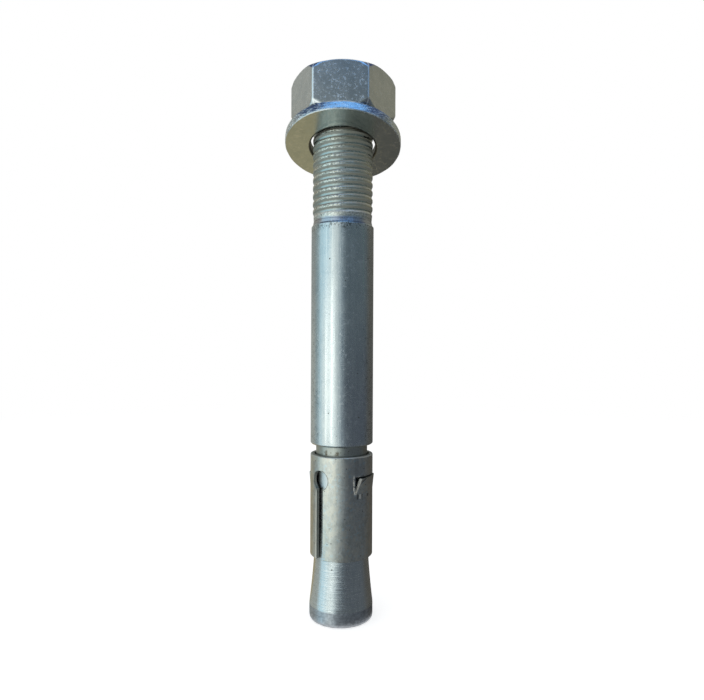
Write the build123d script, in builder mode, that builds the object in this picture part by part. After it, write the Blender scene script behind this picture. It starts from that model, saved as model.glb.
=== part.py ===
from build123d import *
from math import cos, degrees, pi, radians, sin, sqrt, tan
import os

# Wedge anchor (through bolt), M20 x 170, zinc-plated steel.
#
# Four pieces: the one-piece bolt with its stud, shank, neck and flared end, the
# clip rolled from sheet round the neck, a washer and a hexagon nut.  The anchor
# stands on the flat end of its flare, at the origin, with its axis along +Z.
# Heights are in millimetres from that end.  Angles round the axis are in degrees
# from the front, which faces -Y, and grow towards +X.

# ---------------------------------------------------------------- bolt
total_length = 170.0
flare_diameter = 20.0  # the cylindrical land at the very end
flare_land = 4.7  # how far that land reaches
flare_edge_round = 1.1
flare_length = 30.3  # curved taper from the land up to the neck
neck_diameter = 16.2
shank_length = 68.1
shank_diameter = 19.7
shank_foot_chamfer = 0.4
shank_top_chamfer = 0.7
neck_root_round = 0.6
blank_diameter = 18.2  # bare stock that the thread is rolled on
blank_length = 1.5  # from the shank to the first partial thread
thread_diameter = 19.0
thread_pitch = 2.5  # and the length over which the thread runs out
thread_depth = 0.8
thread_angle = 60.0
thread_root = 0.12  # flat at the bottom of the groove
thread_lead_in = 1.45  # where the groove starts, at the back, above the bare stock
stud_chamfer = 1.2

# ---------------------------------------------------------------- clip
clip_length = 31.6
clip_wall = 1.2
clip_neck_gap = 0.55  # the clip is loose on the neck
clip_flare_gap = 0.08  # and its lower edge sits on the flare
clip_play = 3.1  # how far it can slide up, to the foot of the shank
clip_edge_round = 0.3
keyhole_angle = -42.2
keyhole_diameter = 6.1
keyhole_drop = 7.35  # centre of the round hole below the clip's top edge
slot_width = 2.8
seam_width = 1.8  # where the two ends of the rolled strip meet
lug_angle = 28.0  # cut end of the first lug
lug_arc = 60.0
lug_drop = 6.3  # cut top edge of a lug below the clip's top edge
lug_height = 4.7
lug_lift = 1.3  # how far the free corner stands out
lug_lean = 13.0  # how far the cut end leans over towards the lug's middle
lug_tail_lift = 0.4  # how far the other end stands out
lug_kerf = 0.3
lug_count = 2
lug_root_depth = 0.4  # how far a lug's foot is sunk in the wall
lug_root_inset = 0.03

# ---------------------------------------------------------------- washer and nut
washer_diameter = 36.6
washer_play = 2.0  # how much wider its hole is than the thread
washer_thickness = 3.0
washer_edge_round = 0.5
washer_hole_round = 0.35
washer_tilt = 17.5  # it hangs askew on the stud, caught in the thread
washer_turn = -4.8  # the side that is up, against the nut
nut_height = 14.6
nut_across_flats = 28.9
nut_corner_round = 0.8
nut_face_diameter = 26.8
nut_chamfer_angle = 28.0  # chamfer round each face, out to the shoulder
nut_shoulder_diameter = 31.4
nut_corner_drop = 2.6  # each corner starts this far below the face
nut_countersink = 0.9
nut_turn = -2.3  # turn of the nearest flat from the front
nut_stud_gap = 0.05  # radial running clearance on the thread
nut_washer_gap = 0.1

# ---------------------------------------------------------------- derived sizes
flare_radius = flare_diameter / 2
neck_radius = neck_diameter / 2
shank_radius = shank_diameter / 2
blank_radius = blank_diameter / 2
thread_radius = thread_diameter / 2
neck_start = flare_land + flare_length

# The flare's side is an arc that starts straight up at the neck.  The clip's
# lower edge sits where that arc has grown to the clip's bore, less its gap.
flare_widening = flare_radius - neck_radius
flare_arc_radius = (flare_length**2 + flare_widening**2) / (2 * flare_widening)
widening_at_clip = clip_neck_gap - clip_flare_gap
clip_start = neck_start - sqrt(widening_at_clip * (2 * flare_arc_radius - widening_at_clip))
clip_end = clip_start + clip_length
shank_start = clip_end + clip_play
shank_end = shank_start + shank_length
blank_start = shank_end + shank_top_chamfer
runout_start = blank_start + blank_length
thread_start = runout_start + thread_pitch
groove_start = runout_start + thread_lead_in
groove_mouth = thread_root / 2 + 1.5 * thread_depth * tan(radians(thread_angle / 2))
stock_end = total_length + 2 * thread_pitch
clip_bore = neck_radius + clip_neck_gap
clip_radius = clip_bore + clip_wall
keyhole_centre = clip_end - keyhole_drop
lug_top = clip_end - lug_drop
lug_foot = lug_top - lug_height

nut_bore = thread_radius + nut_stud_gap
nut_face_radius = nut_face_diameter / 2
nut_start = total_length - nut_height
washer_radius = washer_diameter / 2
washer_bore = (thread_diameter + washer_play) / 2
half_thickness = washer_thickness / 2
tilt = radians(washer_tilt)
washer_rise = half_thickness / cos(tilt) + nut_face_radius * tan(tilt)
washer_centre = nut_start - nut_washer_gap - washer_rise


def outward(angle):
    """Level direction at an angle round the axis."""
    return Vector(0, -1, 0).rotate(Axis.Z, angle)


def meridian(angle):
    """Upright plane through the axis: x is the distance from it and y the height."""
    return Plane(origin=(0, 0, 0), x_dir=outward(angle), z_dir=outward(angle - 90))


def facing(angle):
    """Upright plane through the axis that faces out at an angle: y is the height."""
    return Plane(origin=(0, 0, 0), x_dir=outward(angle + 90), z_dir=outward(angle))


def lug_section(angle, lean):
    """Plane of a section of a lug: x is out and y is up from its foot, leaning over."""
    rise = Vector(0, 0, 1) * cos(radians(lean)) + outward(angle + 90) * sin(radians(lean))
    return Plane(origin=(0, 0, lug_foot), x_dir=outward(angle), z_dir=outward(angle).cross(rise))


# ---------------------------------------------------------------- anchor bolt
with BuildPart() as anchor_bolt:
    with BuildSketch(Plane.XZ) as turned_profile:
        with BuildLine():
            Polyline((neck_radius, neck_start), (neck_radius, shank_start), (shank_radius, shank_start))
            Polyline(
                (shank_radius, shank_start),
                (shank_radius, shank_end),
                (blank_radius, blank_start),
                (blank_radius, runout_start),
                (thread_radius, thread_start),
                (thread_radius, stock_end),
                (0, stock_end),
                (0, 0),
                (flare_radius, 0),
                (flare_radius, flare_land),
            )
            TangentArc((neck_radius, neck_start), (flare_radius, flare_land), tangent=(0, -1))
        make_face()
        corners = turned_profile.vertices()
        fillet(corners.sort_by_distance((flare_radius, 0))[0], flare_edge_round)
        fillet(corners.sort_by_distance((neck_radius, shank_start))[0], neck_root_round)
        chamfer(corners.sort_by_distance((shank_radius, shank_start))[0], shank_foot_chamfer)
    revolve(axis=Axis.Z)

    # Thread: one groove wound up the stud, from the run-out at the back to beyond
    # the stud's end, which is then cut off the stock and chamfered.
    winding = Helix(
        thread_pitch,
        stock_end - thread_pitch - groove_start,
        thread_radius,
        center=(0, 0, groove_start),
    ).rotate(Axis.Z, 90)
    with BuildSketch(Plane(origin=winding @ 0, x_dir=outward(180), z_dir=winding % 0)):
        with BuildLine():
            Polyline(
                (-thread_depth, -thread_root / 2),
                (-thread_depth, thread_root / 2),
                (thread_depth / 2, groove_mouth),
                (thread_depth / 2, -groove_mouth),
                close=True,
            )
        make_face()
    sweep(path=winding, is_frenet=True, mode=Mode.SUBTRACT)
    with BuildSketch(Plane.XZ):
        with BuildLine():
            Polyline(
                (0, total_length),
                (thread_radius - stud_chamfer, total_length),
                (thread_radius + stud_chamfer, total_length - 2 * stud_chamfer),
                (thread_radius + stud_chamfer, stock_end + thread_pitch),
                (0, stock_end + thread_pitch),
                close=True,
            )
        make_face()
    revolve(axis=Axis.Z, mode=Mode.SUBTRACT)

# ---------------------------------------------------------------- expansion clip
seam_angle = keyhole_angle + 180

with BuildPart() as expansion_clip:
    with BuildSketch(Plane.XY.offset(clip_start)):
        Circle(clip_radius)
        Circle(clip_bore, mode=Mode.SUBTRACT)
    extrude(amount=clip_length)
    rims = expansion_clip.edges().filter_by(GeomType.CIRCLE)
    fillet(rims.filter_by(lambda rim: rim.radius > clip_bore + clip_wall / 2), clip_edge_round)

    # Keyhole: a round hole with a slot from it to the clip's lower edge.
    with BuildSketch(facing(keyhole_angle)):
        with Locations((0, keyhole_centre)):
            Circle(keyhole_diameter / 2)
            Rectangle(slot_width, clip_length, align=(Align.CENTER, Align.MAX))
    extrude(amount=2 * clip_radius, mode=Mode.SUBTRACT)

    # Seam: the ends of the rolled strip stay a little apart.
    with BuildSketch(facing(seam_angle)):
        with Locations((0, clip_start + clip_length / 2)):
            Rectangle(seam_width, clip_length + clip_wall)
    extrude(amount=2 * clip_radius, mode=Mode.SUBTRACT)

    # Lugs: flaps lanced out of the wall, free along their tops and both ends and
    # hinged along their feet.  The corner that leads is lifted and curled most.
    for lug in range(lug_count):
        lead_angle = lug_angle + lug * 360 / lug_count
        kerf_turn = degrees(lug_kerf / clip_radius)
        with BuildSketch(meridian(lead_angle - kerf_turn)):
            with Locations((clip_bore + clip_wall / 2, lug_foot)):
                Rectangle(3 * clip_wall, lug_height + lug_kerf, align=(Align.CENTER, Align.MIN))
        revolve(axis=Axis.Z, revolution_arc=lug_arc + 2 * kerf_turn, mode=Mode.SUBTRACT)

        for step in range(4):
            part_way = step / 3
            lift = lug_lift + (lug_tail_lift - lug_lift) * part_way
            inner = clip_bore + lug_root_inset
            outer = clip_radius - lug_root_inset
            with BuildSketch(lug_section(lead_angle + lug_arc * part_way, lug_lean * (1 - part_way))):
                with BuildLine():
                    Polyline(
                        (inner, -lug_root_depth),
                        (outer, -lug_root_depth),
                        (outer, 0),
                        (outer + lift, lug_height),
                        (inner + lift, lug_height),
                        (inner, 0),
                        close=True,
                    )
                make_face()
        loft()

# ---------------------------------------------------------------- washer
washer_normal = Vector(0, 0, 1) * cos(tilt) - outward(washer_turn) * sin(tilt)
washer_middle = Plane(
    origin=(0, 0, washer_centre), x_dir=outward(washer_turn + 90), z_dir=washer_normal
)

with BuildPart() as washer:
    with BuildSketch(washer_middle):
        Circle(washer_radius)
        Circle(washer_bore, mode=Mode.SUBTRACT)
    extrude(amount=half_thickness, both=True)
    rims = washer.edges().filter_by(GeomType.CIRCLE)
    fillet(rims.filter_by(lambda rim: rim.radius > (washer_bore + washer_radius) / 2), washer_edge_round)
    rims = washer.edges().filter_by(GeomType.CIRCLE)
    fillet(rims.filter_by(lambda rim: abs(rim.radius - washer_bore) < washer_hole_round / 10), washer_hole_round)

# ---------------------------------------------------------------- hexagon nut
corner_radius = nut_corner_round + (nut_across_flats / 2 - nut_corner_round) / cos(pi / 6)
shoulder_radius = nut_shoulder_diameter / 2
shoulder_drop = (shoulder_radius - nut_face_radius) * tan(radians(nut_chamfer_angle))
mouth_radius = nut_bore + nut_countersink

with BuildPart() as hex_nut:
    with BuildSketch(Plane.XY.offset(nut_start)) as hexagon:
        RegularPolygon(nut_across_flats / 2, 6, major_radius=False, rotation=nut_turn)
        fillet(hexagon.vertices(), nut_corner_round)
    extrude(amount=nut_height)
    with BuildSketch(Plane.XZ):
        with BuildLine():
            Polyline(
                (nut_bore, nut_start + nut_countersink),
                (mouth_radius, nut_start),
                (nut_face_radius, nut_start),
                (shoulder_radius, nut_start + shoulder_drop),
                (corner_radius, nut_start + nut_corner_drop),
                (corner_radius, total_length - nut_corner_drop),
                (shoulder_radius, total_length - shoulder_drop),
                (nut_face_radius, total_length),
                (mouth_radius, total_length),
                (nut_bore, total_length - nut_countersink),
                close=True,
            )
        make_face()
    revolve(axis=Axis.Z, mode=Mode.INTERSECT)

# ---------------------------------------------------------------- files
os.makedirs("parts", exist_ok=True)

anchor_bolt.part.label = "anchor_bolt"
expansion_clip.part.label = "expansion_clip"
washer.part.label = "washer"
hex_nut.part.label = "hex_nut"

export_step(anchor_bolt.part, "parts/anchor_bolt.step")
export_step(expansion_clip.part, "parts/expansion_clip.step")
export_step(washer.part, "parts/washer.step")
export_step(hex_nut.part, "parts/hex_nut.step")
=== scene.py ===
import math

import bpy
import numpy as np
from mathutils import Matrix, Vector


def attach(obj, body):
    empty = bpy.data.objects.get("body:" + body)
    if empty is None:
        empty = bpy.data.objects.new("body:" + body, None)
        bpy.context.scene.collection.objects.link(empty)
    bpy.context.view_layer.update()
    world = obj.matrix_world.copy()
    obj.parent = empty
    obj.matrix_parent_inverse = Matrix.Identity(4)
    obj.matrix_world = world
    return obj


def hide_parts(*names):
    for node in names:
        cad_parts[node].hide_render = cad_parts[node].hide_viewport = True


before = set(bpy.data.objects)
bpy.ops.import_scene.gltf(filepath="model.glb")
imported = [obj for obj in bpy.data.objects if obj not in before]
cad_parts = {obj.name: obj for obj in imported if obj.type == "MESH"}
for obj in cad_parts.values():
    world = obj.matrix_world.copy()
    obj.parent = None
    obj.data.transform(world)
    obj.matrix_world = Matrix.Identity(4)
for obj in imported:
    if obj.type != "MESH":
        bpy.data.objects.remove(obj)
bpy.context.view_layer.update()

MM = 0.001

# Sizes and places are in millimetres and degrees.  Heights are from the flat end
# of the flare, and angles round the axis from the front (-Y) towards +X.

# The bolt, from its flared end upwards.
LAND_RADIUS, LAND_TOP, LAND_ROUND = 10.0, 4.7, 1.1
NECK_RADIUS, NECK_START = 8.1, 35.0
FLARE_LENGTH, FLARE_WIDENING = NECK_START - LAND_TOP, LAND_RADIUS - NECK_RADIUS
FLARE_ARC = (FLARE_LENGTH**2 + FLARE_WIDENING**2) / (2 * FLARE_WIDENING)
SHANK_RADIUS, SHANK_FOOT, SHANK_TOP = 9.85, 54.6, 122.75
STUD_RADIUS, STUD_CHAMFER, TOTAL_LENGTH = 9.5, 1.2, 170.0

# The thread.  Its section is how far it lies under its crest, by pitches below
# the lip.  The bolt's surface has rows for it from THREAD_LOW to THREAD_HIGH, and
# it fades out by THREAD_END.
PITCH = 2.5
GROOVE_AT = 127.6  # height of a thread's lower lip at the front
THREAD_LOW, THREAD_HIGH, THREAD_END = 125.0, 168.6, 169.7
THREAD_STEPS = (0.0, 0.06, 0.13, 0.24, 0.42, 0.50, 0.56, 0.64, 0.72, 0.93, 1.0)
THREAD_DEPTHS = (0.04, 0.13, 0.24, 0.31, 0.34, 0.32, 0.24, 0.05, 0.0, 0.01, 0.04)

# The expansion clip, with the features that its finish follows.
CLIP_RADIUS, CLIP_TOP, SLOT_EDGE = 9.85, 51.5, -51.0
KEYHOLE_ANGLE, KEYHOLE_HEIGHT, KEYHOLE_RADIUS = -42.2, 44.16, 3.05
LUG_ANGLE, LUG_MIDDLE = 28.0, 42.9

# The washer, which leans on the stud, and the nut.
WASHER_RADIUS, WASHER_HOLE, WASHER_HALF = 18.298, 10.5, 1.5
WASHER_RIM = 18.0  # radius at which the finish of its sheared rim starts
WASHER_TILT, WASHER_TURN = math.radians(17.5), math.radians(-4.8)
WASHER_CENTRE = np.array([0.0, 0.0, 149.5024])
NUT_FOOT, NUT_TOP, NUT_TURN = 155.4, 170.0, -2.3
NUT_FLAT, NUT_CORNER = 14.45, 0.8
NUT_FACE, NUT_SHOULDER, NUT_BORE = 13.4, 15.7, 9.55
NUT_INSIDE = 14.0  # radius up to which only its faces, countersinks and bore lie

# The camera, at half the anchor's height: its place, its roll, and how many
# pixels its focal length is in a frame so wide.
CAMERA_PLACE, CAMERA_ROLL = (3.145, -188.07, 84.1), -0.263
FOCAL_PIXELS, FRAME_PIXELS = 592, 704


def outward(angle):
    """Level unit vector at an angle round the axis, from the front towards +X."""
    return np.array([math.sin(angle), -math.cos(angle), 0.0])


WASHER_NORMAL = (np.array([0.0, 0.0, math.cos(WASHER_TILT)])
                 - outward(WASHER_TURN) * math.sin(WASHER_TILT))
WASHER_SIDE = outward(WASHER_TURN + math.pi / 2)
WASHER_AXES = (WASHER_SIDE, np.cross(WASHER_NORMAL, WASHER_SIDE), WASHER_NORMAL)


# ------------------------------------------------------------------ meshes
def mesh_from_grid(name, points, material, ends=True, loop=False, smooth=True):
    """A surface from a grid of points[row, column] in metres.

    Columns run round the piece, anticlockwise seen from the last row's side, and
    join up.  Rows run from its first end to its last; a looped section's last row
    joins its first, otherwise each end may be closed by a fan to its row's mean.
    Face (i, j) has the corners (i, j), (i, j+1), (i+1, j+1) and (i+1, j).
    """
    rows, columns = points.shape[:2]
    vertices = points.reshape(-1, 3)
    steps = np.arange(rows if loop else rows - 1)
    i, j = np.meshgrid(steps, np.arange(columns), indexing="ij")
    up, k = (i + 1) % rows, (j + 1) % columns
    quads = np.stack([i * columns + j, i * columns + k, up * columns + k, up * columns + j], -1)
    loops, sizes = [quads.reshape(-1)], [np.full(quads.size // 4, 4)]
    if ends and not loop:
        around = np.arange(columns)
        nxt = (around + 1) % columns
        first, last = len(vertices), len(vertices) + 1
        vertices = np.vstack([vertices, points[0].mean(0), points[-1].mean(0)])
        top = (rows - 1) * columns
        low = np.stack([np.full(columns, first), nxt, around], -1)
        high = np.stack([np.full(columns, last), top + around, top + nxt], -1)
        loops += [low.reshape(-1), high.reshape(-1)]
        sizes += [np.full(2 * columns, 3)]
    loops, sizes = np.concatenate(loops), np.concatenate(sizes)
    mesh = bpy.data.meshes.new(name)
    mesh.vertices.add(len(vertices))
    mesh.vertices.foreach_set("co", vertices.astype(np.float32).reshape(-1))
    mesh.loops.add(len(loops))
    mesh.loops.foreach_set("vertex_index", loops.astype(np.int32))
    mesh.polygons.add(len(sizes))
    mesh.polygons.foreach_set("loop_start", (np.cumsum(sizes) - sizes).astype(np.int32))
    mesh.polygons.foreach_set("use_smooth", np.full(len(sizes), smooth))
    mesh.update(calc_edges=True)
    mesh.validate()
    piece = bpy.data.objects.new(name, mesh)
    bpy.context.scene.collection.objects.link(piece)
    mesh.materials.append(material)
    return piece


def turned(radius, angle, height):
    """Points in metres at radii and heights in mm and angles from +X: (r cos, r sin, h)."""
    radius, angle, height = np.broadcast_arrays(radius, angle, height)
    return np.stack([radius * np.cos(angle), radius * np.sin(angle), height], -1) * MM


def full_turn(columns):
    """Angles that divide a full turn evenly."""
    return np.linspace(0, 2 * np.pi, columns, endpoint=False)


def smoothstep(x, low, high):
    """0 below low, 1 above high and 3t^2 - 2t^3 between."""
    t = np.clip((x - low) / (high - low), 0, 1)
    return t * t * (3 - 2 * t)


def rounded_path(corners, step):
    """Points along a polyline whose corners are rounded.

    Each corner is (x, y, round): a quadratic curve replaces the last and first
    `round` millimetres of its two sides.  Straight runs are divided into steps.
    """
    places = [np.array(corner[:2], float) for corner in corners]
    out = places[:1]

    def run_to(end):
        start = out[-1]
        runs = max(1, int(np.linalg.norm(end - start) / step))
        out.extend(start + (end - start) * t for t in np.linspace(0, 1, runs + 1)[1:])

    for a, b, c, (_, _, cut) in zip(places, places[1:], places[2:], corners[1:]):
        arrive = b + (a - b) / np.linalg.norm(a - b) * cut
        leave = b + (c - b) / np.linalg.norm(c - b) * cut
        run_to(arrive)
        if cut > 0:
            out.extend((1 - t) ** 2 * arrive + 2 * t * (1 - t) * b + t * t * leave
                       for t in np.linspace(0, 1, 6)[1:])
    run_to(places[-1])
    return np.array(out)


# ------------------------------------------------------------------ node trees
class Wire:
    """An output socket of a material's node tree, with arithmetic written as usual.

    Numbers and tuples mix with wires: a + b, 2 * a, 1 - a, a / b, a ** b, a < b.
    """

    def __init__(self, tree, socket):
        self.tree, self.socket = tree, socket

    def node(self, kind, settings=None, inputs=None, output=0):
        """Makes a shader node: its type, its settings, then its values and links."""
        made = self.tree.nodes.new("ShaderNode" + kind)
        for key, value in (settings or {}).items():
            setattr(made, key, value)
        for key, value in (inputs or {}).items():
            if isinstance(value, Wire):
                self.tree.links.new(value.socket, made.inputs[key])
            elif value is not None:
                made.inputs[key].default_value = value
        return Wire(self.tree, made.outputs[output])

    def math(self, operation, *others):
        """A Math node, or a Vector Math node where a vector takes part."""
        kind = "Math"
        wires = [self, *(other for other in others if isinstance(other, Wire))]
        if (any(wire.socket.type == "VECTOR" for wire in wires)
                or any(isinstance(other, tuple) for other in others)):
            kind = "VectorMath"
            others = [o if isinstance(o, (Wire, tuple)) else (o, o, o) for o in others]
        return self.node(kind, {"operation": operation}, dict(enumerate((self, *others))))

    def __add__(self, other): return self.math("ADD", other)
    def __radd__(self, other): return self.math("ADD", other)
    def __sub__(self, other): return self.math("SUBTRACT", other)
    def __mul__(self, other): return self.math("MULTIPLY", other)
    def __rmul__(self, other): return self.math("MULTIPLY", other)
    def __truediv__(self, other): return self.math("DIVIDE", other)
    def __pow__(self, other): return self.math("POWER", other)
    def __lt__(self, other): return self.math("LESS_THAN", other)
    def __gt__(self, other): return self.math("GREATER_THAN", other)
    def __rsub__(self, other): return (self * -1.0).math("ADD", other)
    def __rtruediv__(self, other): return (self ** -1.0) * other
    def __neg__(self): return self * -1.0
    def __abs__(self): return self.math("ABSOLUTE")

    def maximum(self, *others):
        """The largest of this wire and the others."""
        most = self
        for other in others:
            most = most.math("MAXIMUM", other)
        return most

    def ramp(self, low, high, start=0.0, end=1.0):
        """start below low, end above high, and smooth between."""
        return self.node("MapRange", {"interpolation_type": "SMOOTHSTEP"}, {
            "Value": self, "From Min": low, "From Max": high, "To Min": start, "To Max": end})

    def fall(self, low, high):
        """1 below low, 0 above high, and smooth between."""
        return self.ramp(low, high, 1.0, 0.0)

    def band(self, start, full, drop, end):
        """0 below start and above end, 1 from full to drop, and smooth between."""
        return self.ramp(start, full) * self.fall(drop, end)

    def near(self, middle, half):
        """1 within half of the middle, 0 beyond, with a soft edge."""
        return abs(self - middle).fall(half * 0.7, half * 1.3)

    def mix(self, a, b):
        """The colour a where this wire is 0 and b where it is 1."""
        a, b = (c if isinstance(c, Wire) else (*c, 1.0) for c in (a, b))
        return self.node("Mix", {"data_type": "RGBA"}, {0: self, 6: a, 7: b}, 2)

    def mix_value(self, a, b):
        """The number a where this wire is 0 and b where it is 1."""
        return a + (b - a) * self

    def part(self, axis):
        """One component of a vector."""
        return self.node("SeparateXYZ", None, {0: self}, "XYZ".index(axis))

    def noise(self, scale, detail=2.0, roughness=0.5):
        """Noise, 0 to 1, of that many waves per unit of this vector."""
        return self.node("TexNoise", {"noise_dimensions": "3D"}, {
            "Vector": self, "Scale": scale, "Detail": detail, "Roughness": roughness})

    def spots(self, scale, size):
        """1 in round spots scattered one to a cell, 0 outside."""
        found = self.node("TexVoronoi", {"feature": "F1"}, {"Vector": self, "Scale": scale})
        return found.fall(size * 0.6, size)


def object_place(tree):
    """Object coordinates in millimetres."""
    metres = Wire(tree, tree.nodes.new("ShaderNodeTexCoord").outputs["Object"])
    return metres * (1000.0, 1000.0, 1000.0)


def round_place(place):
    """A point's angle round the axis in degrees, its radius and its height."""
    x, y, z = (place.part(axis) for axis in "XYZ")
    return x.math("ARCTAN2", -y) * (180 / math.pi), (x * x + y * y) ** 0.5, z


def new_material(name):
    """A material with a Principled shader: (material, its place in mm, shader node)."""
    material = bpy.data.materials.new(name)
    material.use_nodes = True
    tree = material.node_tree
    return material, object_place(tree), tree.nodes["Principled BSDF"]


def finish_material(place, shader, colour, roughness, height, depth, metallic=1.0):
    """Links a metal's colour, roughness and relief (depth in mm for a height of 1)."""
    links = place.tree.links
    links.new(colour.socket, shader.inputs["Base Color"])
    links.new(roughness.socket, shader.inputs["Roughness"])
    if isinstance(metallic, Wire):
        links.new(metallic.socket, shader.inputs["Metallic"])
    else:
        shader.inputs["Metallic"].default_value = metallic
    bump = place.node("Bump", None, {"Distance": depth * MM, "Height": height})
    links.new(bump.socket, shader.inputs["Normal"])


# ------------------------------------------------------------------ finishes
def scratches(place, scale, turn, stretch=0.04, width=0.05):
    """1 on thin lines that run along a turned direction, broken up, 0 elsewhere.

    scale is how many times a millimetre the lines' noise changes across them.
    """
    turning = {"Vector": place, "Rotation": turn}
    turned_place = place.node("VectorRotate", {"rotation_type": "EULER_XYZ"}, turning)
    along = (turned_place * (1.0, stretch, 1.0)).noise(scale, 0.0)
    broken = turned_place.noise(0.9, 1.0).ramp(0.55, 0.62)
    return abs(along - 0.5).fall(width * 0.3, width) * broken


def ragged_smudge(around, chips, middle, half):
    """1 on a smudge round a given angle, eaten away by the noise."""
    return (around + (chips - 0.5) * 16.0).near(middle, half) * chips.ramp(0.40, 0.48)


def shank_marks(colour, place, around, z, shank, chips, lengthwise):
    """The shank's colour with painted highlight lines, a painted green reflection, dark scuffs and
    bruises at its shoulder.
    """
    # Bright die lines, put where the two lamps' highlights fall: painted highlights.
    lines = around.near(-29.0, 1.1).maximum(around.near(-17.5, 1.3) * 0.9)
    lines = lines * lengthwise.ramp(0.35, 0.50)
    colour = (lines * shank * 0.45).mix(colour, (0.80, 0.81, 0.78))
    # A thin green line on the right of the shank: a painted reflection.
    green_reflection = around.near(42.0, 0.6) * z.ramp(96.0, 106.0) * shank * chips.ramp(0.40, 0.55)
    colour = (green_reflection * 0.6).mix(colour, (0.62, 0.86, 0.74))

    rubs = scratches(place, 0.55, (0.5, 0.1, 0.0), 0.10, 0.16)
    rubs = rubs.maximum(scratches(place, 0.5, (-0.4, -0.2, 0.4), 0.10, 0.16))
    blots = (place * (1.0, 1.0, 0.4)).noise(1.2, 3.0, 0.6).ramp(0.67, 0.72)
    sides = abs(around).ramp(36.0, 50.0) * z.ramp(80.0, 112.0, 1.0, 0.35)
    scuffs = (rubs * chips.ramp(0.45, 0.55)).maximum(blots) * sides * shank
    colour = (scuffs * 0.48).mix(colour, (0.15, 0.155, 0.15))
    bruise = (place * (1.0, 1.0, 0.7)).noise(1.9, 2.0).ramp(0.52, 0.60)
    bruise = bruise * z.near(SHANK_TOP - 0.95, 0.9)
    return (bruise * 0.7).mix(colour, (0.14, 0.145, 0.14))


def thread_finish(place, around, z, chips):
    """The thread's colour, roughness and height, and how much of it is matte rather than metal.

    How far a point is below the lip, frac(angle/360 - (z - z0)/pitch), finds the
    thread's parts: a dull greenish flank that faces down, painted darker as painted
    shade; a smooth cool root; a dark, matte rise; and a crest that is rough where the
    rolled metal closed over itself. The side right of the front is tinted warm, a
    painted reflection.
    """
    step = (around / 360.0 - (z - GROOVE_AT) / PITCH).math("FRACT")
    ragged = step + (chips - 0.5) * 0.20
    crest = ragged.band(0.52, 0.64, 0.86, 0.96)
    flank = ragged.fall(0.16, 0.28).maximum(ragged.ramp(0.86, 0.97))
    rise = step.band(0.40, 0.50, 0.66, 0.76)
    nicks = place.spots(0.55, 0.11).maximum(chips.ramp(0.63, 0.68) * crest)

    # The down-facing flank painted darker: painted shade.
    colour = flank.mix((0.42, 0.485, 0.465), (0.29, 0.305, 0.27))
    colour = (rise * 0.75).mix(colour, (0.22, 0.20, 0.155))
    colour = crest.mix(colour, chipped_metal(chips))
    # The side right of the front tinted warm: a painted reflection.
    warm_reflection = around.ramp(-4.0, 12.0) * (0.45 + crest * 0.4)
    colour = warm_reflection.mix(colour, (0.50, 0.49, 0.38))
    colour = (nicks * 0.8).mix(colour, (0.10, 0.10, 0.085))
    roughness = 0.25 + flank * 0.33 + crest * 0.04 + step.ramp(0.36, 0.46) * 0.03
    height = crest * chips * -1.8 - nicks * 1.2
    matte_share = (rise * (1.0 - crest * 0.6) * 0.75).maximum(crest * 0.05, flank * 0.32)
    return colour, roughness, height, matte_share


def chipped_metal(chips):
    """Bare metal whose flakes are bright and whose hollows are dark."""
    return chips.ramp(0.42, 0.56).mix((0.84, 0.83, 0.73), (0.37, 0.37, 0.31))


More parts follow.
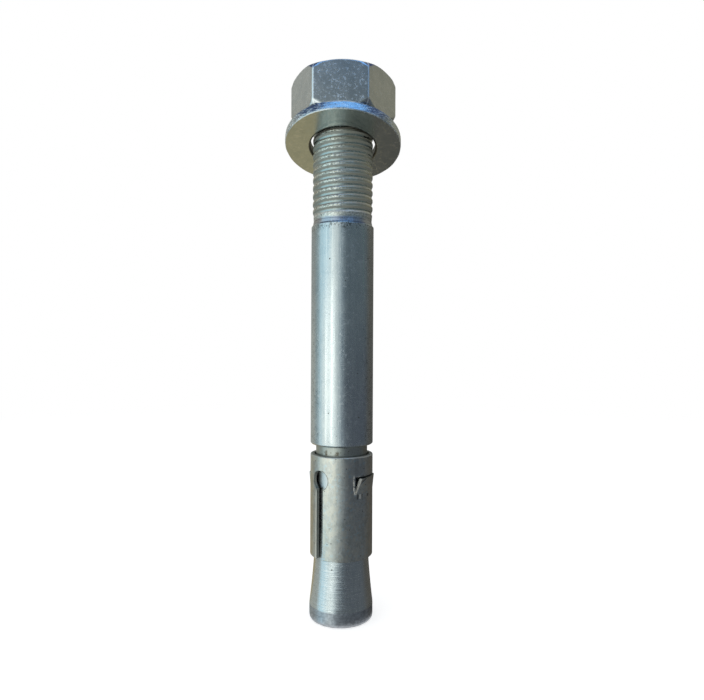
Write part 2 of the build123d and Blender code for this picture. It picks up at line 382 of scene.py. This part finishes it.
def bolt_material():
    """Bright zinc plate on turned and cold-formed steel, dark, matte and chipped in the thread.

    From the end upwards: a stained land, turned rings on the flare, a darker olive neck
    with dark smudges, a drawn and scuffed shank with painted highlight lines and a
    painted green reflection, a blue-grey run-out with two dark lines, the thread.
    """
    material, place, shader = new_material("zinc_bolt")
    around, _, z = round_place(place)
    lengthwise = (place * (1.0, 1.0, 0.06)).noise(1.6, 4.0)
    rings = (place * (0.05, 0.05, 1.0)).noise(3.2, 3.0)
    clouds = place.noise(0.22, 3.0)
    mottle = (place * (1.0, 1.0, 0.4)).noise(0.9, 3.0, 0.6)
    grain = place.noise(3.4, 3.0, 0.6)
    drawn = (place * (1.0, 1.0, 0.012)).noise(2.1, 2.0, 0.6)
    chips = (place * (1.0, 1.0, 1.7)).noise(1.7, 3.0, 0.7)
    land = z.fall(LAND_TOP - 0.4, LAND_TOP + 0.1)
    cone = z.fall(20.0, 26.0)
    neck = z.band(50.6, 51.6, SHANK_FOOT - 0.4, SHANK_FOOT + 0.4)
    shank = z.band(SHANK_FOOT + 0.4, SHANK_FOOT + 2.4, SHANK_TOP - 1.25, SHANK_TOP - 0.25)
    ringed = (z < NECK_START + 1.0) + (z > SHANK_TOP - 0.25)

    tone = clouds * 0.3 + grain * 0.3 + lengthwise * 0.2 + mottle * 0.2
    colour = tone.ramp(0.36, 0.64).mix((0.50, 0.55, 0.565), (0.62, 0.655, 0.65))
    roughness = (0.17 + clouds * 0.07 + grain * 0.09 + mottle * 0.05
                 + ((rings - 0.5) * 0.25 - 0.06) * cone)
    height = (grain * 0.45 + lengthwise * 0.5 * (1.0 - ringed)
              + rings * (0.5 + cone * 3.0) * ringed + mottle * 0.7)
    colour = (rings.ramp(0.42, 0.60) * cone * 0.35).mix(colour, (0.70, 0.74, 0.76))
    colour = (drawn.fall(0.40, 0.52) * (shank + cone) * 0.35).mix(colour, (0.44, 0.49, 0.50))
    colour = shank_marks(colour, place, around, z, shank, chips, lengthwise)

    threaded = z.band(THREAD_LOW + 0.7, THREAD_LOW + 2.0, THREAD_END - 0.5, THREAD_END)
    thread, thread_roughness, thread_height, matte_share = thread_finish(place, around, z, chips)
    colour = threaded.mix(colour, thread)
    # The thread's ragged foot, and two dark lines in the blue-grey run-out under it.
    worn = z.band(THREAD_LOW - 0.8, THREAD_LOW + 0.2, THREAD_LOW + 0.7, THREAD_LOW + 2.0)
    colour = (worn * 0.7).mix(colour, chipped_metal(chips))
    lines = (z + (chips - 0.5) * 0.3).near(124.25, 0.14).maximum(z.near(123.15, 0.16))
    colour = (z.near(123.9, 0.8) * 0.6).mix(colour, (0.40, 0.42, 0.50))
    colour = (lines * 0.5).mix(colour, (0.15, 0.15, 0.16))
    roughness = threaded.mix_value(roughness, thread_roughness) + worn * 0.12
    height = threaded.mix_value(height + worn * chips * -1.5, thread_height + grain * 0.5)

    plain = 1.0 - threaded
    pits = place.spots(0.33, 0.09).maximum(place.spots(0.62, 0.07)) * plain
    marks = scratches(place, 0.6, (0.3, 0.2, 0.9))
    marks = marks.maximum(scratches(place, 0.5, (0.9, 0.1, 0.2)))
    stains = (place * (0.7, 0.7, 1.0)).noise(1.3, 4.0, 0.7)
    stained = stains.ramp(0.36, 0.64).mix((0.30, 0.315, 0.335), (0.46, 0.485, 0.51))
    colour = pits.mix(colour, (0.15, 0.15, 0.14))
    colour = (marks * 0.5 * plain).mix(colour, (0.70, 0.72, 0.72))
    colour = (neck * (0.45 + mottle * 0.5)).mix(colour, (0.345, 0.355, 0.30))
    colour = land.mix(colour, stained)
    roughness = roughness + pits * 0.3 + land * 0.25 + neck * 0.08 + marks * 0.1
    height = height - pits * 0.8 - marks * 0.2
    # Dark smudges in the neck just above the clip, and dark specks over the neck.
    dark_smudges = (ragged_smudge(around, chips, -34.5, 3.5) * z.near(52.5, 0.8)).maximum(
        ragged_smudge(around, chips, -9.0, 4.5) * z.near(52.4, 0.6),
        place.spots(0.6, 0.13) * neck, chips.ramp(0.60, 0.66) * neck * 0.7)
    colour = (dark_smudges * 0.85).mix(colour, (0.12, 0.10, 0.07))
    metallic = 1.0 - matte_share * z.band(THREAD_LOW, THREAD_LOW + 1.0, THREAD_END - 0.5, THREAD_END)
    finish_material(place, shader, colour, roughness, height, 0.03, metallic)
    return material


def clip_material():
    """Duller galvanised sheet, rolled: grain, warm mottles and specks; cut faces are rough.

    A point's angle round the axis and its height find the keyhole's rim, the edge
    of the slot, the lug's torn end and the dents by it, where light and shade are
    painted: shade along the keyhole's rim, in the dents and over the lug, and pale
    highlights on the edges, the lug and a dent's lip. The inside is painted darker as shade.
    """
    material, place, shader = new_material("zinc_clip")
    around, radius, z = round_place(place)
    clouds = place.noise(0.35, 3.0)
    mottle = place.noise(1.1, 3.0, 0.6)
    grain = place.noise(3.0, 4.0, 0.65)
    patches = (place * (1.0, 1.0, 0.6)).noise(0.55, 2.0, 0.6).ramp(0.50, 0.60)
    specks = (place.spots(0.55, 0.13) * 0.9).maximum(
        place.spots(1.1, 0.13) * 0.6, grain.ramp(0.68, 0.74) * 0.8)
    bright = place.spots(1.3, 0.07)
    marks = scratches(place, 0.7, (0.2, 0.5, 0.0))
    marks = marks.maximum(scratches(place, 0.8, (0.0, -0.9, 0.1)))
    ragged = around + (grain - 0.5) * 3.0

    tone = clouds * 0.35 + mottle * 0.35 + grain * 0.3
    colour = tone.ramp(0.37, 0.63).mix((0.44, 0.455, 0.42), (0.575, 0.58, 0.54))
    colour = mottle.ramp(0.54, 0.66).mix(colour, (0.49, 0.57, 0.58))
    colour = (patches * 0.55).mix(colour, (0.63, 0.61, 0.53))
    colour = specks.mix(colour, (0.17, 0.17, 0.16))
    colour = (bright * 0.6).maximum(marks * 0.4).mix(colour, (0.72, 0.72, 0.68))

    # Cut faces inside the outer one, darker as dull cut metal, with the inside of the
    # sheet darker too as painted shade; and painted shade along the rim of the keyhole's
    # round part, on its right side only.
    cut = radius.fall(CLIP_RADIUS - 0.22, CLIP_RADIUS - 0.08)
    colour = cut.mix(colour, (0.34, 0.335, 0.30))
    off = (around - KEYHOLE_ANGLE) * (CLIP_RADIUS * math.pi / 180)
    reach = (off * off + (z - KEYHOLE_HEIGHT) ** 2) ** 0.5
    rim = (reach + (mottle - 0.5) * 0.3).near(KEYHOLE_RADIUS + 0.1, 0.13) * off.ramp(0.5, 1.5)
    colour = (rim * 0.75).mix(colour, (0.09, 0.09, 0.08))

    # Painted highlights, pale and matte, on edges that are also rubbed and torn: the slot's,
    # the lug's end, outline and foot, a dent's lip, the clip's top.
    slot_edge_highlight = around.near(SLOT_EDGE, 1.1) * z.fall(40.0, 42.0) * (1.0 - cut)
    lug_end = around - (LUG_ANGLE + (z - LUG_MIDDLE) * 1.5) + (grain - 0.5) * 1.5
    torn = lug_end.near(2.0, 2.4) * z.near(LUG_MIDDLE, 2.5)
    outline = ragged.near(LUG_ANGLE - 4.6, 0.8) * z.near(43.5, 2.2) * mottle.ramp(0.35, 0.5)
    foot = ragged.near(26.5, 2.5) * z.near(40.7, 0.35)
    dent_lip_highlight = ragged.near(36.5, 1.6) * z.near(39.5, 0.7)
    top_edge_highlight = z.ramp(CLIP_TOP - 0.35, CLIP_TOP - 0.2)
    pale = torn.maximum(outline * 0.8, foot * 0.6, slot_edge_highlight * 0.6, dent_lip_highlight * 0.5, top_edge_highlight * 0.4)
    colour = pale.mix(colour, (0.54, 0.54, 0.49))
    # Brighter still: painted highlights on the slot's edge, the lug's outline and its foot.
    colour = slot_edge_highlight.maximum(outline, foot * 0.5).mix(colour, (0.88, 0.86, 0.76))

    # Dents under the lug, pressed in and painted dark as painted shade, a line of painted
    # shadow along the lug's cut top, and painted shade over the lug.
    dents = (ragged.near(31.3, 2.0) * z.near(39.5, 0.8)).maximum(
        ragged.near(41.0, 1.3) * z.near(39.7, 0.6),
        around.near(56.0, 2.5) * z.near(39.6, 0.4),
        around.near(40.6, 5.0) * (z - 44.5 - (around - 40.6) * 0.12).near(0.0, 0.3))
    colour = (dents * 0.75).mix(colour, (0.14, 0.14, 0.13))
    shade = around.near(29.0, 4.0) * z.near(48.5, 2.5)
    colour = (shade * 0.25).mix(colour, (0.30, 0.30, 0.28))
    roughness = 0.21 + clouds * 0.08 + grain * 0.12 + marks * 0.1 + cut * 0.2 + pale * 0.35
    height = grain * 1.2 + mottle * 0.6 - specks + cut * grain - dents * 2.0
    finish_material(place, shader, colour, roughness, height, 0.03, 1.0 - pale * 0.7)
    return material


def washer_place(place):
    """A point's distance from the washer's own axis, and its height along that axis."""
    off = place - tuple(WASHER_CENTRE)
    normal = {0: off, 1: tuple(WASHER_NORMAL)}
    level = off.node("VectorMath", {"operation": "DOT_PRODUCT"}, normal, 1)
    reach = off.node("VectorMath", {"operation": "LENGTH"}, {0: off}, 1)
    return (reach * reach - level * level) ** 0.5, level


def washer_material():
    """Stamped sheet, bright zinc plate: a sheared, streaky rim and a punched bore painted dark as
    painted shade.
    """
    material, place, shader = new_material("zinc_washer")
    radius, level = washer_place(place)
    clouds = place.noise(0.3, 3.0)
    mottle = place.noise(1.0, 3.0, 0.6)
    grain = place.noise(2.6, 3.0, 0.6)
    streaks = (place * (1.0, 1.0, 0.25)).noise(2.4, 3.0, 0.6)
    sheared = (place * (0.35, 0.6, 2.2)).noise(1.6, 3.0, 0.6)
    marks = scratches(place, 0.5, (0.0, 0.2, 0.5))
    marks = marks.maximum(scratches(place, 0.6, (0.0, 0.3, 1.9)))
    bore = radius.fall(WASHER_HOLE + 0.25, WASHER_HOLE + 0.5)
    rim = radius.ramp(WASHER_RIM, WASHER_RIM + 0.2)
    lip = radius.ramp(WASHER_RIM - 0.1, WASHER_RIM + 0.1)
    lip = lip * (level + (streaks - 0.5) * 2.6).fall(-1.30, -0.85)
    flakes = rim * sheared.ramp(0.52, 0.58) * abs(place.part("X")).ramp(3.0, 9.0, 0.25, 1.0)

    tone = clouds * 0.4 + mottle * 0.3 + grain * 0.3
    colour = tone.ramp(0.35, 0.65).mix((0.46, 0.53, 0.54), (0.55, 0.615, 0.62))
    colour = place.spots(0.55, 0.07).mix(colour, (0.22, 0.22, 0.2))
    colour = (marks * 0.45).mix(colour, (0.72, 0.74, 0.73))
    # The bore painted dark: painted shade inside the hole, where the stud blocks the light.
    colour = bore.mix(colour, (0.13, 0.13, 0.12))
    colour = (lip * 0.6).mix(colour, (0.74, 0.75, 0.74))
    colour = (flakes * 0.85).mix(colour, (0.92, 0.92, 0.88))
    colour = (rim * sheared.fall(0.38, 0.44) * 0.55).mix(colour, (0.20, 0.23, 0.30))
    roughness = (0.10 + clouds * 0.06 + grain * 0.07 + bore * 0.2 + lip * 0.2 + marks * 0.08
                 + flakes * 0.3)
    height = (grain * 0.6 + mottle * 0.5 + lip * streaks * 1.5 + rim * sheared * 4.0
              - marks * 0.4)
    finish_material(place, shader, colour, roughness, height, 0.015)
    return material


def nut_material():
    """Bright zinc plate; the flats are scratched and their edges rubbed pale."""
    material, place, shader = new_material("zinc_nut")
    around, radius, _ = round_place(place)
    clouds = place.noise(0.3, 3.0)
    mottle = place.noise(0.8, 3.0, 0.6)
    grain = place.noise(2.8, 3.0, 0.6)
    marks = scratches(place, 0.9, (0.0, 0.6, 0.0))
    for turn in ((0.0, -0.5, 0.0), (0.0, 1.2, 0.0), (0.1, 1.9, 0.0), (0.0, 0.1, 0.1)):
        marks = marks.maximum(scratches(place, 1.0, turn))
    fine = scratches(place, 1.3, (0.0, -0.2, 0.0), 0.05, 0.03)
    fine = fine.maximum(scratches(place, 1.3, (0.0, 0.9, 0.0), 0.05, 0.03))
    marks = (marks * mottle.ramp(0.40, 0.60)).maximum(fine * clouds.ramp(0.46, 0.58))
    dots = place.spots(0.8, 0.08).maximum(place.spots(1.5, 0.07)) * clouds.ramp(0.52, 0.62)

    # 0 at the middle of each flat and 0.5 at the corners.
    from_middle = abs(((around - NUT_TURN) / 60.0 + 0.5).math("FRACT") - 0.5)
    edge = (from_middle + (grain - 0.5) * 0.03).ramp(0.475, 0.495) * (radius > NUT_INSIDE)
    tone = clouds * 0.4 + mottle * 0.3 + grain * 0.3
    colour = tone.ramp(0.35, 0.65).mix((0.47, 0.505, 0.52), (0.58, 0.60, 0.60))
    rubbed = (marks * 0.45).maximum(dots * 0.45, edge * 0.9)
    colour = rubbed.mix(colour, (0.90, 0.91, 0.89))
    roughness = 0.18 + clouds * 0.05 + marks * 0.15 + dots * 0.18 + edge * 0.24
    height = mottle * 0.5 + grain * 0.1 - marks * 0.3
    finish_material(place, shader, colour, roughness, height, 0.012)
    return material


# ------------------------------------------------------------------ pieces
def bolt_profile():
    """Corners (radius, height, round) of the bolt's outline, from end face to stud's top.

    The flare's side is an arc that leaves the neck straight: at a height z below
    the neck's start its radius is neck + R - sqrt(R^2 - (start - z)^2).
    """
    flare = [(NECK_RADIUS + FLARE_ARC - math.sqrt(FLARE_ARC**2 - (NECK_START - z) ** 2), z, 0)
             for z in np.linspace(LAND_TOP + 0.9, NECK_START - 1.0, 24)]
    centre = 0.5  # radius of the small rings that close the two ends
    return [
        (centre, 0.0, 0), (LAND_RADIUS, 0.0, LAND_ROUND), (LAND_RADIUS, LAND_TOP, 0.5),
        *flare, (NECK_RADIUS, NECK_START, 0), (NECK_RADIUS, SHANK_FOOT, 0.6),
        (SHANK_RADIUS - 0.4, SHANK_FOOT, 0.12), (SHANK_RADIUS, SHANK_FOOT + 0.4, 0.15),
        (SHANK_RADIUS, SHANK_TOP, 0.15), (9.42, SHANK_TOP + 0.4, 0.12),
        (9.16, 124.6, 0.3), (9.25, 125.6, 0.3), (STUD_RADIUS, 127.4, 0.3),
        (STUD_RADIUS, TOTAL_LENGTH - STUD_CHAMFER, 0.2),
        (STUD_RADIUS - STUD_CHAMFER, TOTAL_LENGTH, 0.2), (centre, TOTAL_LENGTH, 0)]


def make_bolt(material):
    """The whole bolt as one surface of revolution with its thread cut in.

    r(angle, z) = outline(z) - fade(z) * depth(w), where w is how far a point is
    below a thread's lip, in pitches: w = frac(angle/360 - (z - z0)/pitch), and
    depth follows the thread's section.  A small ripple roughens the crest.
    """
    outline = rounded_path(bolt_profile(), 2.0)
    rows = np.arange(THREAD_LOW, THREAD_HIGH, PITCH / 20)
    stud = np.column_stack([np.interp(rows, outline[:, 1], outline[:, 0]), rows])
    below = outline[outline[:, 1] < THREAD_LOW - 0.05]
    above = outline[outline[:, 1] > THREAD_HIGH + 0.05]
    outline = np.vstack([below, stud, above])
    radius, height = outline[:, :1], outline[:, 1:]
    angle = full_turn(192)[None, :]
    turn = angle + np.pi / 2  # 0 at the front
    turn = np.where(turn > np.pi, turn - 2 * np.pi, turn)
    step = (turn / (2 * np.pi) - (height - GROOVE_AT) / PITCH) % 1.0
    fade = smoothstep(height, THREAD_LOW + 0.4, THREAD_LOW + 2.2)
    fade = fade * (1 - smoothstep(height, THREAD_END - 0.4, THREAD_END - 0.1))
    wave = 1 + np.sin(23 * turn + 9 * height) * np.sin(37 * turn - 4 * height)
    ripple = 0.02 * smoothstep(step, 0.66, 0.72) * wave
    radius = radius - fade * (np.interp(step, THREAD_STEPS, THREAD_DEPTHS) + ripple)
    return mesh_from_grid("threaded_bolt", turned(radius, angle, height), material)


def nut_hexagon():
    """Angles from +X of the nut's columns, and the hexagon's radius at each.

    The columns crowd towards the corners, which are arcs of NUT_CORNER's radius.
    """
    half, crowd = math.pi / 6, 0.045
    spread = np.concatenate([
        np.linspace(-half, -half + crowd, 8)[:-1], np.linspace(-half + crowd, half - crowd, 26),
        np.linspace(half - crowd, half, 8)[1:-1]])
    angle = np.concatenate([spread + k * 2 * half for k in range(6)])
    angle = angle - math.pi / 2 + math.radians(NUT_TURN)
    spread = np.tile(spread, 6)
    away = half - np.abs(spread)  # from the nearest corner
    centre = (NUT_FLAT - NUT_CORNER) / math.cos(half)
    drop = NUT_CORNER**2 - (centre * np.sin(away)) ** 2
    arc = centre * np.cos(away) + np.sqrt(np.maximum(drop, 0))
    reach = math.atan2(NUT_CORNER * 0.5, centre + NUT_CORNER * math.cos(half))
    return angle, np.where(away < reach, arc, NUT_FLAT / np.cos(spread))


def nut_section():
    """Radius and height of the nut's section: up its side, in, down its bore and out.

    Both halves are written once, as (radius, distance from a face, round).
    """
    side = [(NUT_FACE, 0.0, 0), (NUT_SHOULDER, 1.223, 0.4), (16.6, 2.75, 0.3), (17.4, 4.2, 0)]
    mouth = [(NUT_FACE, 0.0, 0), (13.1, 0.0, 0), (10.45, 0.0, 0.25), (NUT_BORE, 0.9, 0.15)]
    up = [(r, NUT_FOOT + d, cut) for r, d, cut in side]
    over = [(r, NUT_TOP - d, cut) for r, d, cut in side[::-1]]
    down = [(r, NUT_TOP - d, cut) for r, d, cut in mouth]
    out = [(r, NUT_FOOT + d, cut) for r, d, cut in mouth[::-1]]
    outer, inner = rounded_path(up + over, 0.12), rounded_path(down + out, 0.6)
    # The side is straight between the chamfers, where one row in five is enough.
    middle = (outer[:, 1] > NUT_FOOT + 4.3) & (outer[:, 1] < NUT_TOP - 4.3)
    keep = ~middle
    keep[middle] = np.arange(middle.sum()) % 5 == 0
    return np.vstack([outer[keep], inner[1:-1]])


def make_nut(material):
    """The hexagon nut, its chamfers and flats meeting in soft edges.

    r(angle, s) = softmin(section(s), hexagon(angle)) outside, and the section's
    own radius inside, where softmin(a, b) = b + (a - b) h - k h (1 - h) with
    h = clip(1/2 + (b - a)/2k).
    """
    angle, hexagon = nut_hexagon()
    section = nut_section()
    a, b, k = section[:, :1], hexagon[None, :], 0.16
    h = np.clip(0.5 + (b - a) / (2 * k), 0, 1)
    radius = np.where(a < NUT_INSIDE, a, b + (a - b) * h - k * h * (1 - h))
    points = turned(radius, angle[None, :], section[:, 1:])
    return mesh_from_grid("hexagon_nut", points, material, loop=True)


def make_washer(material):
    """The washer: its section turned about its own axis, which leans on the stud.

    The section's corners are rounded; the lower outer edge, where the punch broke
    through, wavers inwards by up to 0.15 mm: 0.03 (2 + sin 7a + sin(17a + 1)) plus
    0.03 |sin(41a + 1/2) sin 13a|.  The hole, punched a little out of round, is
    0.25 narrower from side to side.
    """
    middle = 14.0  # radius at which the section starts, on the underside
    section = rounded_path([
        (middle, -WASHER_HALF, 0), (WASHER_RADIUS, -WASHER_HALF, 0.30),
        (WASHER_RADIUS, WASHER_HALF, 0.55), (WASHER_HOLE, WASHER_HALF, 0.4),
        (WASHER_HOLE, -WASHER_HALF, 0.4), (middle, -WASHER_HALF, 0)], 0.25)[:-1]
    around = full_turn(240)
    radius, level = section[:, :1], section[:, 1:]
    edge = smoothstep(radius, 17.6, 18.3) * (1 - smoothstep(level, -1.45, -0.7))
    waver = 0.03 * (2 + np.sin(7 * around) + np.sin(17 * around + 1))
    waver = waver + 0.03 * np.abs(np.sin(41 * around + 0.5) * np.sin(13 * around))
    radius = radius - edge * waver
    radius = radius - 0.25 * (1 - smoothstep(radius, 11.0, middle)) * np.cos(around) ** 2
    u, v, n = WASHER_AXES
    sideways = np.cos(around)[:, None] * u + np.sin(around)[:, None] * v
    points = WASHER_CENTRE + radius[..., None] * sideways + level[..., None] * n
    return mesh_from_grid("flat_washer", points * MM, material, loop=True)


for piece, body, node in (
    (make_bolt(bolt_material()), "bolt", "anchor_bolt"),
    (make_washer(washer_material()), "washer", "washer"),
    (make_nut(nut_material()), "nut", "hex_nut"),
):
    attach(piece, body)
    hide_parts(node)

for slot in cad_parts["expansion_clip"].material_slots:
    slot.material = clip_material()


# ------------------------------------------------------------------ camera
scene = bpy.context.scene
camera_data = bpy.data.cameras.new("camera")
camera_data.sensor_width = 36.0
camera_data.lens = camera_data.sensor_width * FOCAL_PIXELS / FRAME_PIXELS
camera_data.clip_start = 0.01
camera_data.clip_end = 20.0
camera = bpy.data.objects.new("camera", camera_data)
camera.location = np.array(CAMERA_PLACE) * MM
camera.rotation_euler = (math.radians(90), math.radians(CAMERA_ROLL), 0)
scene.collection.objects.link(camera)
scene.camera = camera
scene.view_settings.view_transform = "Standard"


# ------------------------------------------------------------------ studio
def glowing_material(name):
    """A material with no shader yet: (material, its place in mm)."""
    material = bpy.data.materials.new(name)
    material.use_nodes = True
    material.cycles.emission_sampling = "NONE"
    material.node_tree.nodes.clear()
    return material, object_place(material.node_tree)


def show(shader, kind="OutputMaterial"):
    """Links a shader to a new output node."""
    out = shader.tree.nodes.new("ShaderNode" + kind)
    shader.tree.links.new(shader.socket, out.inputs["Surface"])


def seen_rays(tree):
    """1 for rays from the camera and for those that metal or glass sends on."""
    path = tree.nodes.new("ShaderNodeLightPath")
    camera_ray, *passed_on = (Wire(tree, path.outputs[f"Is {kind} Ray"])
                              for kind in ("Camera", "Glossy", "Transmission"))
    return camera_ray.maximum(*passed_on)


def make_floor():
    """A wide pale floor: lit near the object, where it keeps the shadow, white further off."""
    material, place = glowing_material("floor")
    white = {"Color": (1.0, 1.0, 1.0, 1.0)}
    level = place * (1.0, 1.0, 0.0)
    distance = level.node("VectorMath", {"operation": "LENGTH"}, {0: level}, 1)
    lit = place.node("BsdfDiffuse", None, {"Color": (0.8, 0.8, 0.8, 1.0)})
    glow = place.node("Emission", None, {**white, "Strength": 0.55})
    lifted = place.node("AddShader", None, {0: lit, 1: glow})
    far = place.node("Emission", None, {**white, "Strength": 1.0})
    seen = place.node("MixShader", None, {0: distance.fall(60.0, 700.0), 1: far, 2: lifted})
    show(place.node("MixShader", None, {0: seen_rays(place.tree), 1: lit, 2: seen}))
    radii = np.array([[1.0], [100.0], [500.0], [2000.0], [9000.0]])
    points = turned(radii, full_turn(64)[None, :], -0.02)
    floor = mesh_from_grid("floor", points, material, ends=False, smooth=False)


def surround_colour(place):
    """The studio's colour by angle from the front and by height.

    A bright window stands on the left from -92 degrees to near the front, cooler
    towards its right end.  Right of it the studio is dark, and warm behind on the
    right; left of it and behind it is pale.  The apron behind the object is dark
    on the left and olive on the right, and the top is navy in front.
    """
    around, radius, z = round_place(place)
    angle = around / (1.0 - 5.0 / radius)  # as seen from the metal, 5 mm off the axis
    wall = radius.ramp(200.0, 255.0)  # 0 on the apron

    # The window, whose right edge leans with the height and softens outwards.
    lean = radius.ramp(80.0, 130.0, -14.0, 8.0) - wall * 8.0 - z.ramp(215.0, 275.0, 0.0, 16.0)
    spread = radius.ramp(55.0, 95.0, 0.45, 1.0)
    window = angle.ramp(-98.0, -86.0) * ((angle - lean + 9.0) / spread).fall(-23.0, 23.0)
    turn = z.ramp(95.0, 160.0, 0.0, 38.0) + radius.ramp(90.0, 130.0, 22.0, 0.0)
    cool = (angle - turn).ramp(-94.0, -66.0, 1.0, 0.0)
    blueish = (angle - lean).ramp(-26.0, 8.0) * z.fall(190.0, 230.0)
    bright = blueish.mix((1.08, 1.16, 1.13), (0.88, 1.10, 1.26))

    # The dark side, from the window round to the right.
    high = z.ramp(40.0, 150.0)
    dark = radius.ramp(80.0, 130.0).mix((0.135, 0.15, 0.165), (0.105, 0.12, 0.145))
    dark = high.mix(dark, (0.13, 0.165, 0.185))
    warm = high.mix((0.115, 0.11, 0.10), (0.135, 0.13, 0.115))
    dark = angle.ramp(92.0, 118.0).mix(dark, warm)
    strip = z.ramp(272.0, 290.0) * angle.ramp(-6.0, 10.0, 1.0, 0.3)
    dark = strip.mix(dark, (0.185, 0.25, 0.32))
    beige = z.ramp(160.0, 260.0) * angle.ramp(80.0, 110.0)
    dark = beige.mix(dark, (0.34, 0.33, 0.26))

    # The pale side, left of the window and behind.
    pale = angle.ramp(-178.0, -150.0).mix((0.30, 0.38, 0.37), (0.49, 0.50, 0.46))
    for share, tint in (
        (z.band(90.0, 140.0, 200.0, 260.0) * 0.8, (0.33, 0.345, 0.335)),
        (angle.ramp(-122.0, -104.0) * wall * z.fall(230.0, 270.0) * 0.8, (0.31, 0.42, 0.46)),
        (z.band(170.0, 200.0, 235.0, 262.0), (0.42, 0.395, 0.33)),
        (radius.band(100.0, 125.0, 190.0, 230.0) * 0.9, (0.32, 0.325, 0.315)),
    ):
        pale = share.mix(pale, tint)

    colour = angle.ramp(-80.0, -40.0).mix(pale, dark)
    colour = window.mix(colour, cool.mix(bright, (0.72, 1.0, 1.13)))
    apron = (around < 0.0).mix((0.125, 0.115, 0.10), (0.455, 0.385, 0.235))
    colour = ((1.0 - wall) * abs(around).ramp(110.0, 140.0)).mix(colour, apron)
    top = abs(around).ramp(120.0, 150.0).mix((0.08, 0.11, 0.22), (0.34, 0.38, 0.37))
    return z.ramp(300.0, 345.0).mix(colour, top)


def make_surround():
    """Soft studio walls and a low apron, seen only in the metal.

    A path of (radius, height) is turned round the axis.
    """
    material, place = glowing_material("surround")
    show(place.node("Emission", None, {"Color": surround_colour(place), "Strength": 1.0}))
    path = rounded_path([
        (11.0, 0.3, 0), (262.0, 0.3, 30), (262.0, 330.0, 60), (120.0, 480.0, 0)], 20.0)
    points = turned(path[:, :1], full_turn(96)[None, :], path[:, 1:])
    surround = mesh_from_grid("surround", points, material, ends=False)
    for sight in ("camera", "diffuse", "shadow", "transmission", "volume_scatter"):
        setattr(surround, "visible_" + sight, False)


def area_lamp(name, angle, elevation, distance, size, colour, radiance,
              aim=(0.0, 0.0, 0.1), floor_too=True):
    """A soft rectangular lamp at an angle from the front and an elevation, aimed at a point."""
    data = bpy.data.lights.new(name, "AREA")
    data.shape = "RECTANGLE"
    data.size, data.size_y = size
    data.color = colour
    data.energy = radiance * math.pi * size[0] * size[1]
    lamp = bpy.data.objects.new(name, data)
    a, e = math.radians(angle), math.radians(elevation)
    out = outward(a) * math.cos(e) + np.array([0.0, 0.0, math.sin(e)])
    lamp.location = np.array(aim) + out * distance
    lamp.rotation_euler = Vector(out).to_track_quat("Z", "Y").to_euler()
    lamp.visible_camera = False
    lamp.visible_diffuse = floor_too
    scene.collection.objects.link(lamp)
    return lamp


make_floor()
make_surround()
WARM_WHITE, SKY_BLUE = (1.0, 1.0, 0.97), (0.20, 0.50, 1.0)
area_lamp("key", -57, 6, 0.245, (0.030, 0.14), WARM_WHITE, 1.3, aim=(0.0, 0.0, 0.03))
area_lamp("second", -35, 6, 0.245, (0.050, 0.14), WARM_WHITE, 1.35, aim=(0.0, 0.0, 0.03))
area_lamp("sky", 4, 50, 0.26, (0.50, 0.11), SKY_BLUE, 1.5, aim=(0.0, 0.0, 0.15), floor_too=False)
fill = area_lamp("fill", -30, 62, 1.2, (0.9, 0.9), (1.0, 1.0, 1.0), 0.6)
fill.visible_glossy = False

world = bpy.data.worlds.new("world")
world.use_nodes = True
world.cycles.sampling_method = "NONE"
scene.world = world
world.node_tree.nodes.clear()
seen = seen_rays(world.node_tree)
sky_colour = seen.mix((0.62, 0.63, 0.64), (1.0, 1.0, 1.0))
show(seen.node("Background", None, {"Color": sky_colour, "Strength": 1.0}), "OutputWorld")
